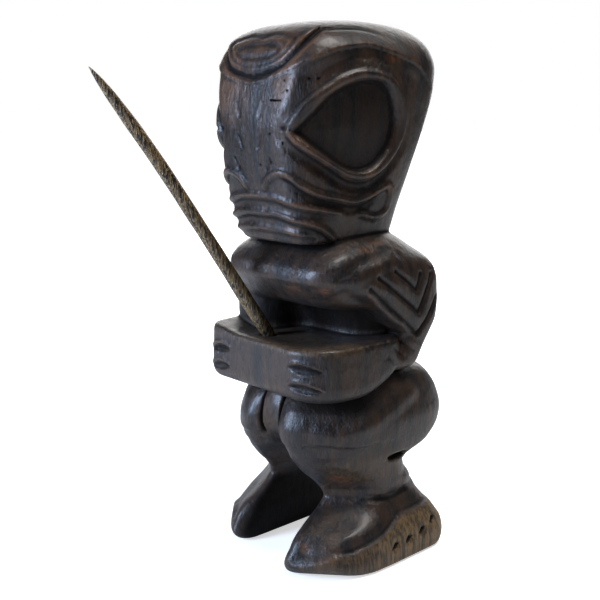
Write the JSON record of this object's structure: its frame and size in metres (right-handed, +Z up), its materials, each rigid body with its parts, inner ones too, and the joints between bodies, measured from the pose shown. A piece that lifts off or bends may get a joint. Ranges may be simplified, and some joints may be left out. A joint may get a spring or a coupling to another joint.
{
  "type": "tiki figure",
  "caption": "Carved dark-wood standing figure with large eyes and hands on a square ledge, holding a loose pointed palm-wood spear.",
  "frame": {"origin": "on the standing plane, midway between the two soles", "axes": "+Z up from the soles to the crown, -Y the way the figure faces, +X its own left side"},
  "size_m": [0.1592, 0.2504, 0.4003],
  "materials": {
    "dark_wood": "stained nearly black, satin polish with brown wear on the ridges",
    "palm_wood": "smooth, yellow-brown with black fibre flecks, darker at the tip"
  },
  "bodies": {
    "figure": {"tiki_figure": "dark_wood"},
    "spear": {"spear": "palm_wood"}
  },
  "joints": [
    {"name": "spear_lift", "type": "slide", "parent": "figure", "child": "spear", "axis": [-0.1657, -0.5278, 0.8331], "range_m": [0, 0.05]}
  ]
}
